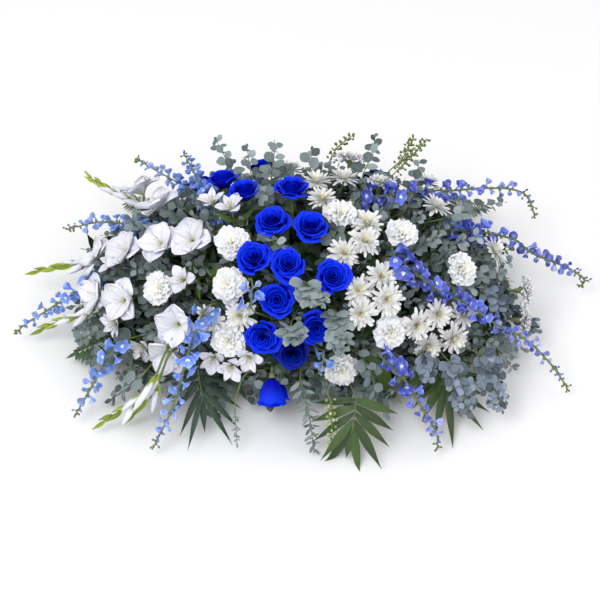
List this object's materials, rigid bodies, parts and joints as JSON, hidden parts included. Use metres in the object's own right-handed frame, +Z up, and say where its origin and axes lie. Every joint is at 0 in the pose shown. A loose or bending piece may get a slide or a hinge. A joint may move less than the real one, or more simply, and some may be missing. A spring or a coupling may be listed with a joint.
{
  "type": "casket spray",
  "caption": "Low, long dome of cut flowers for a casket lid: blue roses, white carnations and mums, gladioli, delphiniums and greens in wet foam in a saddle tray.",
  "frame": {"origin": "middle of the tray's underside, on the surface that the spray rests on", "axes": "+X to the right along the spray's length, +Y to its back, +Z up"},
  "size_m": [1.2282, 0.7396, 0.3474],
  "materials": {
    "rose_petals": "soft satin",
    "carnation_petals": "matte",
    "mum_petals": "matte",
    "gladiolus_petals": "soft satin",
    "alstroemeria_petals": "soft satin",
    "light_blue_florets": "matte",
    "deep_blue_florets": "matte",
    "filler_beads": "satin",
    "eucalyptus_leaves": "matte, waxy",
    "palm_leaves": "satin",
    "fern_leaves": "satin",
    "broad_leaves": "satin",
    "green_stems": "satin",
    "wet_foam": "matte",
    "cage_plastic": "satin",
    "tray_plastic": "satin"
  },
  "bodies": {
    "root": {"alstroemeria_front": "alstroemeria_petals", "alstroemeria_left": "alstroemeria_petals", "alstroemeria_upper_left": "alstroemeria_petals", "broad_leaves": "broad_leaves", "carnation_bunch_top": "carnation_petals", "carnation_pair_back": "carnation_petals", "carnation_pair_end": "carnation_petals", "carnation_pair_front": "carnation_petals", "carnation_pair_left": "carnation_petals", "carnation_pair_lower_left": "carnation_petals", "carnation_pair_right": "carnation_petals", "delphinium_far_left": "light_blue_florets", "delphinium_hanging_left": "light_blue_florets", "delphinium_hanging_right": "deep_blue_florets", "delphinium_lower_left": "light_blue_florets", "delphinium_lower_right": "deep_blue_florets", "delphinium_right": "deep_blue_florets", "delphinium_short": "light_blue_florets", "delphinium_top_left": "light_blue_florets", "delphinium_upper_left": "light_blue_florets", "delphinium_upper_right": "deep_blue_florets", "eucalyptus_front": "eucalyptus_leaves", "eucalyptus_left": "eucalyptus_leaves", "eucalyptus_lower_right": "eucalyptus_leaves", "eucalyptus_middle": "eucalyptus_leaves", "eucalyptus_top": "eucalyptus_leaves", "eucalyptus_upper_right": "eucalyptus_leaves", "fern_left": "fern_leaves", "fern_right": "fern_leaves", "filler_front": "filler_beads", "filler_top": "filler_beads", "foam_brick_left": "wet_foam", "foam_brick_right": "wet_foam", "foam_cage": "cage_plastic", "gladiolus_front_left": "gladiolus_petals", "gladiolus_left": "gladiolus_petals", "gladiolus_lower_left": "gladiolus_petals", "gladiolus_upper_left": "gladiolus_petals", "mum_spray_back": "mum_petals", "mum_spray_centre": "mum_petals", "mum_spray_left": "mum_petals", "mum_spray_lower_right": "mum_petals", "mum_spray_middle": "mum_petals", "mum_spray_right": "mum_petals", "mum_spray_top": "mum_petals", "palm_front": "palm_leaves", "palm_left": "palm_leaves", "palm_right": "palm_leaves", "rose_bunch_back": "rose_petals", "rose_hanging": "rose_petals", "rose_lower_right": "rose_petals", "rose_middle": "rose_petals", "rose_pair_lower": "rose_petals", "rose_pair_middle": "rose_petals", "rose_pair_top_left": "rose_petals", "rose_pair_upper": "rose_petals", "rose_right": "rose_petals", "rose_top": "rose_petals", "saddle_tray": "tray_plastic"}
  },
  "joints": []
}
